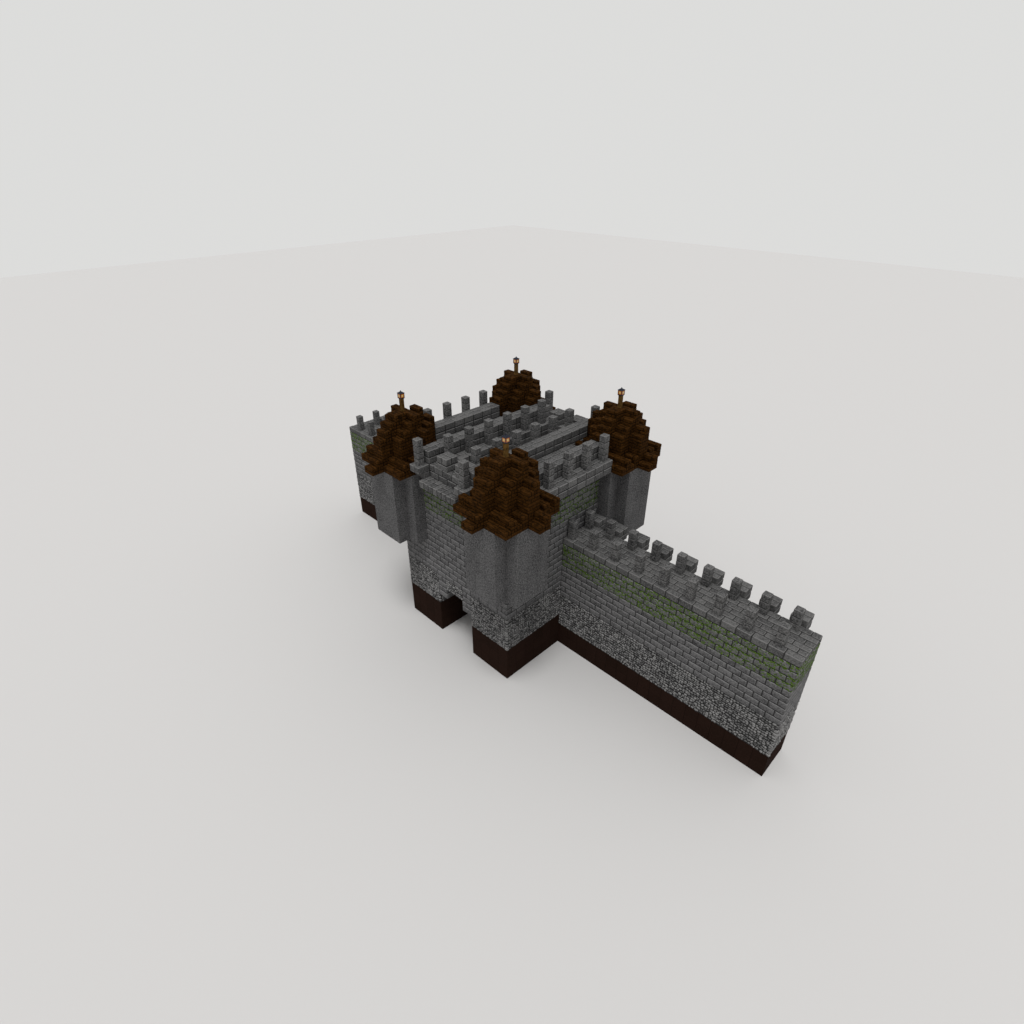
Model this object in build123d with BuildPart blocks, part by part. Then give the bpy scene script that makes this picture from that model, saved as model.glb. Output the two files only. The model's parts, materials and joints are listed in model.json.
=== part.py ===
import os

from build123d import *

os.makedirs("parts", exist_ok=True)

# Half-size model of a fortified gatehouse: every length here is half of the real one.
# X runs along the curtain walls, Y from the front to the back, Z up from the ground.
# The origin is on the ground, in the middle of the whole footprint.

# Gate passage and the two wings beside it
passage_width = 2000.0
springing_height = 2000.0
passage_height = 2500.0
haunch_reach = 500.0
wing_width = 2000.0
block_depth = 6500.0
wall_thickness = 500.0
plinth_height = 1500.0
wall_head = 7500.0
passage_ceiling_thickness = 500.0

# Roof of the gate, one step lower than the roofs of the wings, and its parapets
gate_roof_top = 7500.0
gate_roof_thickness = 500.0
gate_parapet_height = 500.0
gate_merlon_width = 500.0
gate_merlon_height = 500.0
gate_merlon_spacing = 1000.0

# Roofs of the wings with their overhanging ledges and parapets
wing_roof_thickness = 500.0
ledge_reach = 500.0
ledge_thickness = 250.0
string_course_reach = 250.0
parapet_height = 500.0
parapet_thickness = 500.0

# Slender square merlons that stand on the ledges
merlon_width = 250.0
merlon_height = 1000.0
merlon_spacing = 1000.0

# Corner towers, built up from square stones in rows
tower_stone = 500.0
tower_foot_height = 4500.0
tower_inset = 250.0
shaft_rows = (3, 5, 5, 5, 3)

# Stepped timber roofs: each course is a layer of boards, then ribs round the next course
roof_rows = ((1, 5, 5, 7, 5, 5, 1), (1, 3, 5, 3, 1), (1, 3, 5, 3, 1), (1, 3, 1))
roof_course_height = 500.0
roof_board_thickness = 250.0
roof_rib_width = 250.0

# Lamp post and lantern on each roof
lamp_post_width = 125.0
lamp_post_height = 500.0
lantern_width = 187.5
lantern_bar = 22.0
lantern_plate_height = 20.0
lantern_pane_height = 170.0
lantern_cap_overhang = 12.0
lantern_cap_height = 60.0
lantern_cap_taper = 42.0
lantern_knob_width = 40.0
lantern_knob_height = 40.0

# Curtain walls to the left and right
curtain_length = 9000.0
curtain_thickness = 1500.0
curtain_base_height = 1000.0
curtain_wall_height = 5000.0
coping_thickness = 250.0
curtain_post_width = 250.0
curtain_post_height = 750.0
curtain_post_setback = 250.0
curtain_merlon_width = 500.0
curtain_merlon_height = 500.0
curtain_crenel_pitch = 1000.0
curtain_post_end = 750.0

# Places worked out from the sizes above
gate_face = passage_width / 2
outer_face = gate_face + wing_width
front_face = block_depth / 2
room_end = front_face - wall_thickness
wing_roof_top = wall_head + wing_roof_thickness
ledge_bottom = wing_roof_top - ledge_thickness
tower_x = outer_face - tower_inset
tower_y = front_face - tower_inset
curtain_back = tower_y - len(shaft_rows) * tower_stone / 2 - curtain_merlon_width
curtain_front = curtain_back - curtain_thickness
curtain_top = curtain_wall_height + coping_thickness
crenel_run = curtain_length - curtain_post_end - curtain_merlon_width / 2
curtain_crenel_count = int(crenel_run // curtain_crenel_pitch) + 1
roof_peak = wall_head + len(roof_rows) * roof_course_height
eaves_flank = tower_x - roof_rows[0][2] * tower_stone / 2
parapet_rows = roof_rows[1]

sides = (("left", -1), ("right", 1))
ends = (("front", -1), ("back", 1))
corners = [(f"{end}_{side}", sx, sy) for side, sx in sides for end, sy in ends]


def save(piece, name):
    """Labels one finished piece and writes its file."""
    piece.label = name
    export_step(piece, f"parts/{name}.step")


def slab(x0, x1, y0, y1, mode=Mode.ADD):
    """Draws one rectangle between two corners of the plan."""
    with Locations(((x0 + x1) / 2, (y0 + y1) / 2)):
        Rectangle(abs(x1 - x0), abs(y1 - y0), mode=mode)


def stepped_disc(rows, x, y, mode=Mode.ADD):
    """Draws a round plan as rows of square stones, centred on x, y."""
    first_row = y - (len(rows) - 1) / 2 * tower_stone
    for index, count in enumerate(rows):
        with Locations((x, first_row + index * tower_stone)):
            Rectangle(count * tower_stone, tower_stone, mode=mode)


def both_tower_discs(rows, sx, mode=Mode.SUBTRACT):
    """Takes the front and the back tower of one wing out of the current plan."""
    for _, sy in ends:
        stepped_disc(rows, sx * tower_x, sy * tower_y, mode)


def clear_length(rows, inset):
    """Gives the stretch between the two towers, at a distance inside or outside their centres."""
    columns = int(inset // tower_stone)
    reach = max(index for index, count in enumerate(rows) if count > 2 * columns)
    return tower_y - (reach - (len(rows) - 1) / 2 + 0.5) * tower_stone


# Walls of the two wings, the gate passage between them and their parapets
for side, sx in sides:
    with BuildPart() as plinth:
        with BuildSketch(Plane.XY):
            slab(sx * gate_face, sx * outer_face, -front_face, front_face)
        extrude(amount=plinth_height)
    save(plinth.part, f"{side}_plinth")

    with BuildPart() as outer_wall:
        with BuildSketch(Plane.XY.offset(plinth_height)):
            slab(sx * outer_face, sx * (outer_face - wall_thickness), -room_end, room_end)
        extrude(amount=wall_head - plinth_height)
    save(outer_wall.part, f"{side}_outer_wall")

    with BuildPart() as passage_wall:
        with BuildSketch(Plane.XY.offset(plinth_height)):
            slab(sx * gate_face, sx * (gate_face + wall_thickness), -room_end, room_end)
        extrude(amount=wall_head - plinth_height)
    save(passage_wall.part, f"{side}_passage_wall")

    for end, sy in ends:
        with BuildPart() as end_wall:
            with BuildSketch(Plane.XY.offset(plinth_height)):
                slab(sx * gate_face, sx * outer_face, sy * front_face, sy * room_end)
            extrude(amount=wall_head - plinth_height)
        save(end_wall.part, f"{side}_{end}_wall")

    with BuildPart() as haunch:
        with BuildSketch(Plane.XY.offset(springing_height)):
            slab(sx * gate_face, sx * (gate_face - haunch_reach), -front_face, front_face)
        extrude(amount=passage_height - springing_height)
    save(haunch.part, f"{side}_passage_haunch")

    with BuildPart() as wing_roof:
        with BuildSketch(Plane.XY.offset(wall_head)):
            slab(sx * gate_face, sx * outer_face, -front_face, front_face)
            both_tower_discs(roof_rows[0], sx)
        extrude(amount=wing_roof_thickness)
    save(wing_roof.part, f"{side}_wing_roof")

    outer_ledge_end = clear_length(roof_rows[0], tower_inset + ledge_reach / 2)
    with BuildPart() as ledge:
        with BuildSketch(Plane.XY.offset(wall_head)):
            slab(sx * outer_face, sx * (outer_face + ledge_reach), -outer_ledge_end, outer_ledge_end)
            slab(sx * gate_face, sx * (gate_face - ledge_reach), -room_end, room_end)
        extrude(amount=wing_roof_thickness)
        for end, sy in ends:
            string_course_face = sy * (front_face + string_course_reach)
            ledge_face = sy * (front_face + ledge_reach)
            with BuildSketch(Plane.XY.offset(wall_head)):
                slab(sx * gate_face, sx * eaves_flank, sy * front_face, string_course_face)
            extrude(amount=ledge_bottom - wall_head)
            with BuildSketch(Plane.XY.offset(ledge_bottom)):
                slab(sx * gate_face, sx * eaves_flank, sy * front_face, ledge_face)
            extrude(amount=ledge_thickness)
    save(ledge.part, f"{side}_ledge")

    outer_parapet_end = clear_length(parapet_rows, 0)
    with BuildPart() as parapets:
        with BuildSketch(Plane.XY.offset(wing_roof_top)):
            slab(
                sx * outer_face,
                sx * (outer_face - parapet_thickness),
                -outer_parapet_end,
                outer_parapet_end,
            )
            slab(sx * gate_face, sx * (gate_face + parapet_thickness), -front_face, front_face)
        extrude(amount=parapet_height)
    save(parapets.part, f"{side}_parapets")

    with BuildPart() as merlons:
        with BuildSketch(Plane.XY.offset(wing_roof_top)):
            for row_x, row_end in (
                (outer_face + ledge_reach / 2, outer_ledge_end),
                (gate_face - ledge_reach / 2, room_end),
            ):
                count = int((2 * row_end - merlon_width) // merlon_spacing) + 1
                with Locations((sx * row_x, 0)):
                    with GridLocations(merlon_spacing, merlon_spacing, 1, count):
                        Rectangle(merlon_width, merlon_width)
            for end, sy in ends:
                with Locations((sx * (gate_face + eaves_flank) / 2, sy * (front_face + ledge_reach / 2))):
                    Rectangle(merlon_width, merlon_width)
        extrude(amount=merlon_height)
    save(merlons.part, f"{side}_merlons")

# Gate walls above the passage, its ceiling, the low roof between the wings and its parapets
for end, sy in ends:
    with BuildPart() as gate_wall:
        with BuildSketch(Plane.XY.offset(passage_height)):
            slab(-gate_face, gate_face, sy * front_face, sy * room_end)
        extrude(amount=gate_roof_top - gate_roof_thickness - passage_height)
    save(gate_wall.part, f"{end}_gate_wall")

    with BuildPart() as gate_parapet:
        with BuildSketch(Plane.XY.offset(gate_roof_top)):
            slab(-gate_face, gate_face, sy * front_face, sy * (front_face - parapet_thickness))
        extrude(amount=gate_parapet_height)
        with BuildSketch(Plane.XY.offset(gate_roof_top + gate_parapet_height)):
            for index in range(int(passage_width // gate_merlon_spacing)):
                right = gate_face - index * gate_merlon_spacing
                slab(
                    right - gate_merlon_width,
                    right,
                    sy * front_face,
                    sy * (front_face - parapet_thickness),
                )
        extrude(amount=gate_merlon_height)
    save(gate_parapet.part, f"{end}_gate_parapet")

with BuildPart() as passage_ceiling:
    with BuildSketch(Plane.XY.offset(passage_height)):
        slab(-gate_face, gate_face, -room_end, room_end)
    extrude(amount=passage_ceiling_thickness)
save(passage_ceiling.part, "passage_ceiling")

with BuildPart() as gate_roof:
    with BuildSketch(Plane.XY.offset(gate_roof_top - gate_roof_thickness)):
        slab(-gate_face, gate_face, -front_face, front_face)
    extrude(amount=gate_roof_thickness)
    with BuildSketch(Plane.XY.offset(gate_roof_top - ledge_thickness)):
        slab(-gate_face, gate_face, -front_face - ledge_reach, front_face + ledge_reach)
    extrude(amount=ledge_thickness)
    with BuildSketch(Plane.XY.offset(gate_roof_top - gate_roof_thickness)):
        slab(
            -gate_face,
            gate_face,
            -front_face - string_course_reach,
            front_face + string_course_reach,
        )
    extrude(amount=gate_roof_thickness - ledge_thickness)
save(gate_roof.part, "gate_roof")

# Four corner towers: a shaft of stone round the corner of the walls and a stepped timber roof
for corner, sx, sy in corners:
    with BuildPart() as shaft:
        with BuildSketch(Plane.XY.offset(tower_foot_height)):
            stepped_disc(shaft_rows, sx * tower_x, sy * tower_y)
            slab(sx * gate_face, sx * outer_face, -front_face, front_face, mode=Mode.SUBTRACT)
        extrude(amount=wall_head - tower_foot_height)
    save(shaft.part, f"{corner}_tower")

    with BuildPart() as tower_roof:
        for index, rows in enumerate(roof_rows):
            course_foot = wall_head + index * roof_course_height
            with BuildSketch(Plane.XY.offset(course_foot)):
                stepped_disc(rows, sx * tower_x, sy * tower_y)
            extrude(amount=roof_board_thickness)
            with BuildSketch(Plane.XY.offset(course_foot + roof_board_thickness)):
                first_row = sy * tower_y - (len(rows) - 1) / 2 * tower_stone
                for row, count in enumerate(rows):
                    rib_back = first_row + (row + 0.5) * tower_stone
                    half_row = count * tower_stone / 2
                    slab(
                        sx * tower_x - half_row,
                        sx * tower_x + half_row,
                        rib_back - roof_rib_width,
                        rib_back,
                    )
                for next_rows in roof_rows[index + 1 : index + 2]:
                    stepped_disc(next_rows, sx * tower_x, sy * tower_y)
            extrude(amount=roof_course_height - roof_board_thickness)
        with BuildSketch(Plane.XY.offset(roof_peak - roof_course_height)):
            with Locations((sx * tower_x, sy * tower_y)):
                Rectangle(tower_stone, tower_stone)
        extrude(amount=roof_course_height)
    save(tower_roof.part, f"{corner}_tower_roof")

# Lamp posts and lanterns, one on each tower
with BuildPart() as lamp_posts:
    with BuildSketch(Plane.XY.offset(roof_peak)):
        with GridLocations(2 * tower_x, 2 * tower_y, 2, 2):
            Rectangle(lamp_post_width, lamp_post_width)
    extrude(amount=lamp_post_height)
save(lamp_posts.part, "lamp_posts")

lantern_foot = roof_peak + lamp_post_height
pane_foot = lantern_foot + lantern_plate_height
cap_foot = pane_foot + lantern_pane_height
with BuildPart() as lantern_frames:
    for corner, sx, sy in corners:
        middle = (sx * tower_x, sy * tower_y)
        with BuildSketch(Plane.XY.offset(lantern_foot)):
            with Locations(middle):
                Rectangle(lantern_width, lantern_width)
        extrude(amount=lantern_plate_height)
        with BuildSketch(Plane.XY.offset(pane_foot)):
            with Locations(middle):
                with GridLocations(lantern_width - lantern_bar, lantern_width - lantern_bar, 2, 2):
                    Rectangle(lantern_bar, lantern_bar)
        extrude(amount=lantern_pane_height)
        with BuildSketch(Plane.XY.offset(cap_foot)):
            with Locations(middle):
                Rectangle(lantern_width + 2 * lantern_cap_overhang, lantern_width + 2 * lantern_cap_overhang)
        extrude(amount=lantern_cap_height, taper=lantern_cap_taper)
        with BuildSketch(Plane.XY.offset(cap_foot + lantern_cap_height)):
            with Locations(middle):
                Rectangle(lantern_knob_width, lantern_knob_width)
        extrude(amount=lantern_knob_height)
save(lantern_frames.part, "lantern_frames")

with BuildPart() as lantern_panes:
    for corner, sx, sy in corners:
        middle = (sx * tower_x, sy * tower_y)
        with BuildSketch(Plane.XY.offset(pane_foot)):
            with Locations(middle):
                Rectangle(lantern_width - lantern_bar, lantern_width - lantern_bar)
                with GridLocations(lantern_width - lantern_bar, lantern_width - lantern_bar, 2, 2):
                    Rectangle(lantern_bar, lantern_bar, mode=Mode.SUBTRACT)
        extrude(amount=lantern_pane_height)
save(lantern_panes.part, "lantern_panes")

# Curtain walls with a flat coping, slender posts along both edges and merlons on the back
for side, sx in sides:
    near = sx * outer_face
    far = sx * (outer_face + curtain_length)
    with BuildPart() as base:
        with BuildSketch(Plane.XY):
            slab(near, far, curtain_front, curtain_back)
        extrude(amount=curtain_base_height)
    save(base.part, f"{side}_curtain_base")

    with BuildPart() as curtain:
        with BuildSketch(Plane.XY.offset(curtain_base_height)):
            slab(near, far, curtain_front, curtain_back)
        extrude(amount=curtain_wall_height - curtain_base_height)
    save(curtain.part, f"{side}_curtain_wall")

    with BuildPart() as coping:
        with BuildSketch(Plane.XY.offset(curtain_wall_height)):
            slab(near, far, curtain_front, curtain_back)
        extrude(amount=coping_thickness)
    save(coping.part, f"{side}_curtain_coping")

    first_post = outer_face + curtain_length - curtain_post_end
    with BuildPart() as posts:
        with BuildSketch(Plane.XY.offset(curtain_top)):
            for index in range(curtain_crenel_count):
                x = sx * (first_post - index * curtain_crenel_pitch)
                for y in (curtain_front + curtain_post_setback, curtain_back - curtain_post_setback):
                    with Locations((x, y)):
                        Rectangle(curtain_post_width, curtain_post_width)
        extrude(amount=curtain_post_height)
    save(posts.part, f"{side}_curtain_posts")

    with BuildPart() as back_merlons:
        with BuildSketch(Plane.XY.offset(curtain_wall_height)):
            for index in range(curtain_crenel_count):
                x = sx * (first_post - index * curtain_crenel_pitch)
                with Locations((x, curtain_back + curtain_merlon_width / 2)):
                    Rectangle(curtain_merlon_width, curtain_merlon_width)
        extrude(amount=curtain_merlon_height)
    save(back_merlons.part, f"{side}_curtain_merlons")
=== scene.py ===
import json
import math

import bpy
import numpy as np
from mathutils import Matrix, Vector
from mathutils.bvhtree import BVHTree


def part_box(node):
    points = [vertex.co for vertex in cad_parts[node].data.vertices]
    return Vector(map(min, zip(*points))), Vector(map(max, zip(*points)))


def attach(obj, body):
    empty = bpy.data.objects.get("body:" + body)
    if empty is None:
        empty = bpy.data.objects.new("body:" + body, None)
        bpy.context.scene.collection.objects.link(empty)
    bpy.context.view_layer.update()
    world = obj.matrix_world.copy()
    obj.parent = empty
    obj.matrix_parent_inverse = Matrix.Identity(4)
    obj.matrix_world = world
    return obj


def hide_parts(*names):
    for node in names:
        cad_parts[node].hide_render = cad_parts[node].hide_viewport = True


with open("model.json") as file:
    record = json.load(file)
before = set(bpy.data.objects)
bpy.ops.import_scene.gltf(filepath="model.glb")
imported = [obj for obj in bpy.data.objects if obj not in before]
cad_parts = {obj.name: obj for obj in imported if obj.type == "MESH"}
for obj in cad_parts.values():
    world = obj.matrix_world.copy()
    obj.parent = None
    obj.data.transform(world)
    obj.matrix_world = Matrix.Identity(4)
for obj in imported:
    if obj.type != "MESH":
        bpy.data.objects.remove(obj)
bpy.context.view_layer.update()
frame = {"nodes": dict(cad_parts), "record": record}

nodes = frame["nodes"]
random = np.random.default_rng(7)

# camera at the photograph's viewing angle
cameraSettings = {
    "place": (14.794, -14.724, 17.654),
    "pitch": 58.774,  # degrees up from straight down
    "turn": 45.122,
    "lens": 20.73,
    "sensor": 36,
    "farEnd": 300,
}


def addCamera():
    cameraData = bpy.data.cameras.new("photoCamera")
    cameraData.lens = cameraSettings["lens"]
    cameraData.sensor_width = cameraSettings["sensor"]
    cameraData.clip_end = cameraSettings["farEnd"]
    camera = bpy.data.objects.new("photoCamera", cameraData)
    camera.location = cameraSettings["place"]
    pitch, turn = math.radians(cameraSettings["pitch"]), math.radians(cameraSettings["turn"])
    camera.rotation_euler = (pitch, 0, turn)
    bpy.context.scene.collection.objects.link(camera)
    bpy.context.scene.camera = camera


addCamera()
print("camera placed")


# short ways to write a node tree
def newMaterial(name):
    material = bpy.data.materials.new(name)
    material.use_nodes = True
    tree = material.node_tree
    return material, tree, tree.nodes["Principled BSDF"]


def addNode(tree, kind, inputs=None, **settings):
    node = tree.nodes.new("ShaderNode" + kind)
    for key, value in settings.items():
        setattr(node, key, value)
    for key, value in (inputs or {}).items():
        if isinstance(value, bpy.types.NodeSocket):
            tree.links.new(value, node.inputs[key])
        else:
            node.inputs[key].default_value = value
    return node


def sums(tree, operation, first, second=0.0, third=0.0):
    return addNode(tree, "Math", {0: first, 1: second, 2: third}, operation=operation).outputs[0]


def noise(tree, place, scale, detail=3.0, roughness=0.55):
    values = {"Vector": place, "Scale": scale, "Detail": detail, "Roughness": roughness}
    return addNode(tree, "TexNoise", values).outputs["Fac"]


noiseRange = (0.3, 0.7)  # nearly all values of a noise lie in it


def spread(tree, value, low, high, newLow=0.0, newHigh=1.0):
    values = {"Value": value, "From Min": low, "From Max": high, "To Min": newLow, "To Max": newHigh}
    return addNode(tree, "MapRange", values).outputs["Result"]


def objectPlace(tree):
    return addNode(tree, "TexCoord").outputs["Object"]


def upPart(tree, vector):
    return addNode(tree, "SeparateXYZ", {"Vector": vector}).outputs["Z"]


def stretched(tree, place, scale):
    return addNode(tree, "Mapping", {"Vector": place, "Scale": scale}).outputs["Vector"]


def pointValue(tree, name):
    return addNode(tree, "Attribute", attribute_name=name).outputs["Fac"]


def blendColours(tree, factor, first, second):
    mix = addNode(tree, "Mix", data_type="RGBA")
    for socket, value in ((mix.inputs[0], factor), (mix.inputs[6], first), (mix.inputs[7], second)):
        if isinstance(value, bpy.types.NodeSocket):
            tree.links.new(value, socket)
        else:
            socket.default_value = value
    return mix.outputs[2]


def fromScreen(red, green, blue):
    # a colour as it is seen on a screen, 0 to 255, as the linear values that a shader takes
    linear = []
    for value in (red, green, blue):
        value /= 255
        linear.append(((value + 0.055) / 1.055) ** 2.4 if value > 0.04045 else value / 12.92)
    return (*linear, 1.0)


def darkToLight(tree, level, look):
    return blendColours(tree, level, fromScreen(*look["dark"]), fromScreen(*look["light"]))


def finishShader(tree, shader, colour, bumpHeight, look):
    # colour, relief and shine, which every surface here but the panes has
    tree.links.new(colour, shader.inputs["Base Color"])
    values = {"Strength": look["bumpStrength"], "Distance": look["bumpDepth"], "Height": bumpHeight}
    tree.links.new(addNode(tree, "Bump", values).outputs["Normal"], shader.inputs["Normal"])
    shader.inputs["Specular IOR Level"].default_value = look["shine"]


# stone: speckles, painted highlight on the upper and painted shade on the lower edge of each block,
# painted light towards the top of each wall course, faint clouds and rain streaks; "tone" and
# "moss" are written on the points of each block further down
stoneLooks = {
    # edge: painted highlight on upward bevels and painted shade on downward ones, in each look that
    # has it
    "wallStone": {
        "dark": (42, 42, 43), "light": (120, 119, 119), "speckleSize": 0.05, "speckle": 0.62,
        # painted highlight and shade: each course lighter towards its top, darker towards its foot
        "perBlock": 0.10, "edge": 0.40, "paintedCourseLight": 0.30, "clouds": 0.06, "streaks": 0.06,
        "mossy": True,
    },
    "cobbleStone": {
        "dark": (36, 36, 37), "light": (132, 131, 130), "speckleSize": 0.04, "speckle": 0.34,
        "perBlock": 0.43, "edge": 0.34, "clouds": 0.04, "streaks": 0.04,
    },
    "parapetStone": {
        "dark": (38, 38, 39), "light": (113, 112, 111), "speckleSize": 0.055, "speckle": 0.62,
        "perBlock": 0.14, "edge": 0.56, "clouds": 0.05, "streaks": 0.04,
    },
    "merlonStone": {
        "dark": (38, 38, 39), "light": (114, 113, 112), "speckleSize": 0.055, "speckle": 0.9,
        "perBlock": 0.10, "edge": 0.46, "clouds": 0.08, "streaks": 0.05,
    },
    "towerStone": {
        "dark": (44, 44, 45), "light": (110, 109, 109), "speckleSize": 0.05, "speckle": 0.95,
        "perBlock": 0.05, "edge": 0.12, "clouds": 0.10, "streaks": 0.08,
    },
    "foundationStone": {
        "dark": (27, 18, 13), "light": (43, 29, 24), "speckleSize": 0.05, "speckle": 0.5,
        "perBlock": 0.14, "edge": 0.3, "clouds": 0.15, "shine": 0.02,
    },
    "wallMortar": {"dark": (34, 34, 34), "light": (56, 56, 55), "speckleSize": 0.03, "speckle": 0.5},
    "parapetMortar": {
        "dark": (36, 36, 36), "light": (60, 60, 59), "speckleSize": 0.03, "speckle": 0.5,
    },
    "towerMortar": {"dark": (50, 50, 50), "light": (70, 70, 69), "speckleSize": 0.03, "speckle": 0.5},
    "foundationMortar": {
        "dark": (16, 11, 8), "light": (25, 17, 13), "speckleSize": 0.03, "speckle": 0.5, "shine": 0.02,
    },
}
stoneSurface = {
    "roughness": (0.82, 0.98), "shine": 0.08,
    "bumpStrength": 0.35, "bumpDepth": 0.006, "grainSize": 0.014, "grainBump": 0.35,
    "cloudScale": 1.6, "streakScale": (5.0, 5.0, 0.5),  # per metre
    "streakRange": (0.45, 0.75),
}
mostPaintedBevelLight = 0.385  # the most that the painted bevel highlight and shade in blockShade comes to
courseHeight = 0.25  # of the squared stones, in metres
mossLook = {
    "dark": (44, 60, 18), "light": (88, 113, 42),
    "patch": (12.0, 12.0, 19.0),  # patches per metre, wider than high
    "jointReach": 0.3,  # how far from a joint moss is thicker, as a share of the course
    "nearJoint": 0.09, "perBlock": 0.10, "threshold": 0.635, "softEdge": 0.05,
    "leastAmount": 0.01,  # a block with less has none
    "fibres": 90.0, "fibreRange": (0.1, 0.9), "perClump": 0.25,
    "bumpStrength": 0.8, "bumpDepth": 0.006, "roughness": 0.95, "shine": 0.05,
}


def mossCover(tree, place):
    # patches that keep near the joints between the courses
    moss = pointValue(tree, "moss")
    course = sums(tree, "DIVIDE", upPart(tree, place), courseHeight)
    fromJoint = sums(tree, "PINGPONG", course, 0.5)
    nearJoint = spread(tree, fromJoint, 0.0, mossLook["jointReach"], 1.0, 0.0)
    patches = noise(tree, stretched(tree, place, mossLook["patch"]), 1.0, 4.0, 0.6)
    level = sums(tree, "MULTIPLY_ADD", nearJoint, mossLook["nearJoint"], patches)
    level = sums(tree, "MULTIPLY_ADD", moss, mossLook["perBlock"], level)
    threshold = mossLook["threshold"]
    cover = spread(tree, level, threshold, threshold + mossLook["softEdge"])
    return sums(tree, "MULTIPLY", cover, sums(tree, "GREATER_THAN", moss, mossLook["leastAmount"]))


def blockShade(tree, place, look, level):
    # what tells one laid stone from the next: its own tone, clouds, streaks, and painted highlight on
    # its upward bevels with painted shade on its downward ones
    clouds = spread(tree, noise(tree, place, look["cloudScale"], 4.0), *noiseRange, -0.5, 0.5)
    streaks = noise(tree, stretched(tree, place, look["streakScale"]), 1.0, 3.0)
    streaks = spread(tree, streaks, *look["streakRange"])
    upward = upPart(tree, addNode(tree, "NewGeometry").outputs["Normal"])
    level = sums(tree, "MULTIPLY_ADD", pointValue(tree, "tone"), look["perBlock"], level)
    level = sums(tree, "MULTIPLY_ADD", clouds, look["clouds"], level)
    level = sums(tree, "MULTIPLY_ADD", streaks, -look.get("streaks", 0.0), level)
    # painted bevel highlight and shade: nought on upright and level faces, most on the slopes of an
    # edge, lighter where they face up and darker where they face down
    rest = sums(tree, "SUBTRACT", 1.0, sums(tree, "MULTIPLY", upward, upward))
    paintedBevelLight = sums(tree, "MULTIPLY", upward, rest)
    return sums(tree, "MULTIPLY_ADD", paintedBevelLight, look["edge"] / mostPaintedBevelLight, level)


def stoneMaterial(name):
    look = {**stoneSurface, **stoneLooks[name]}
    material, tree, shader = newMaterial(name)
    place = objectPlace(tree)
    speckles = spread(tree, noise(tree, place, 1 / look["speckleSize"], 2.0, 0.7), *noiseRange)
    grain = noise(tree, place, 1 / look["grainSize"], 3.0, 0.7)
    level = sums(tree, "MULTIPLY_ADD", speckles, look["speckle"], 0.5 - look["speckle"] / 2)
    if "perBlock" in look:
        level = blockShade(tree, place, look, level)
    if "paintedCourseLight" in look:
        # painted highlight and shade: each course is lighter towards its top and darker towards its
        # foot
        course = sums(tree, "DIVIDE", upPart(tree, place), courseHeight)
        rise = sums(tree, "SUBTRACT", sums(tree, "FRACT", course), 0.5)
        level = sums(tree, "MULTIPLY_ADD", rise, look["paintedCourseLight"], level)
    colour = darkToLight(tree, level, look)
    if "mossy" in look:
        green = darkToLight(tree, speckles, mossLook)
        colour = blendColours(tree, mossCover(tree, place), colour, green)
    tree.links.new(spread(tree, grain, *noiseRange, *look["roughness"]), shader.inputs["Roughness"])
    relief = sums(tree, "MULTIPLY_ADD", grain, look["grainBump"], speckles)
    finishShader(tree, shader, colour, relief, look)
    return material


# timber: the grain runs along the boards, which all lie along X, and up the posts
timberLooks = {
    "roofBoards": {"dark": (13, 7, 2), "light": (72, 45, 17), "grain": 1.0, "perBoard": 0.10,
                   "weather": 0.3, "roughness": (0.75, 0.95), "shine": 0.02},
    "roofUnderBoards": {"dark": (10, 6, 2), "light": (22, 13, 6), "grain": 0.6, "perBoard": 0.0,
                        "weather": 0.3, "roughness": (0.75, 0.95), "shine": 0.02},
    "postTimber": {"dark": (31, 20, 7), "light": (110, 82, 41), "grain": 0.9, "perBoard": 0.0,
                   "weather": 0.5, "roughness": (0.65, 0.85), "shine": 0.05, "upright": True},
}
timberGrain = {
    "across": 30.0, "along": 7.0, "weatherScale": 5.0,  # per metre
    "middle": 0.45,  # between the dark and the light colour
    "bumpStrength": 0.5, "bumpDepth": 0.004,
}


def timberMaterial(name):
    look = {**timberGrain, **timberLooks[name]}
    across, along = look["across"], look["along"]
    material, tree, shader = newMaterial(name)
    place = objectPlace(tree)
    grainScale = (across, across, along) if "upright" in look else (along, across, across)
    grain = noise(tree, stretched(tree, place, grainScale), 1.0, 5.0, 0.6)
    weather = spread(tree, noise(tree, place, look["weatherScale"], 4.0), *noiseRange, -0.5, 0.5)
    low, high = look["middle"] - look["grain"] / 2, look["middle"] + look["grain"] / 2
    level = spread(tree, grain, *noiseRange, low, high)
    level = sums(tree, "MULTIPLY_ADD", pointValue(tree, "tone"), look["perBoard"], level)
    level = sums(tree, "MULTIPLY_ADD", weather, look["weather"], level)
    tree.links.new(spread(tree, grain, *noiseRange, *look["roughness"]), shader.inputs["Roughness"])
    finishShader(tree, shader, darkToLight(tree, level, look), grain, look)
    return material


def mossMaterial():
    material, tree, shader = newMaterial("mossClumps")
    fibres = noise(tree, objectPlace(tree), mossLook["fibres"], 4.0, 0.7)
    level = spread(tree, fibres, *noiseRange, *mossLook["fibreRange"])
    level = sums(tree, "MULTIPLY_ADD", pointValue(tree, "tone"), mossLook["perClump"], level)
    finishShader(tree, shader, darkToLight(tree, level, mossLook), fibres, mossLook)
    shader.inputs["Roughness"].default_value = mossLook["roughness"]
    return material


finishes = {name: stoneMaterial(name) for name in stoneLooks}
finishes.update({name: timberMaterial(name) for name in timberLooks})
finishes["mossClumps"] = mossMaterial()
underFinishes = {
    "wall_stone": "wallMortar",
    "parapet_stone": "parapetMortar",
    "tower_stone": "towerMortar",
    "foundation_stone": "foundationMortar",
    "roof_timber": "roofUnderBoards",
    "post_timber": "postTimber",
}
print("materials made")

# the grid of filled and open cells that the CAD nodes give
gridSettings = {
    "step": 0.25,
    "digits": 4,
    "skin": 0.0005,  # places nearer than this are one
}

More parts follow.
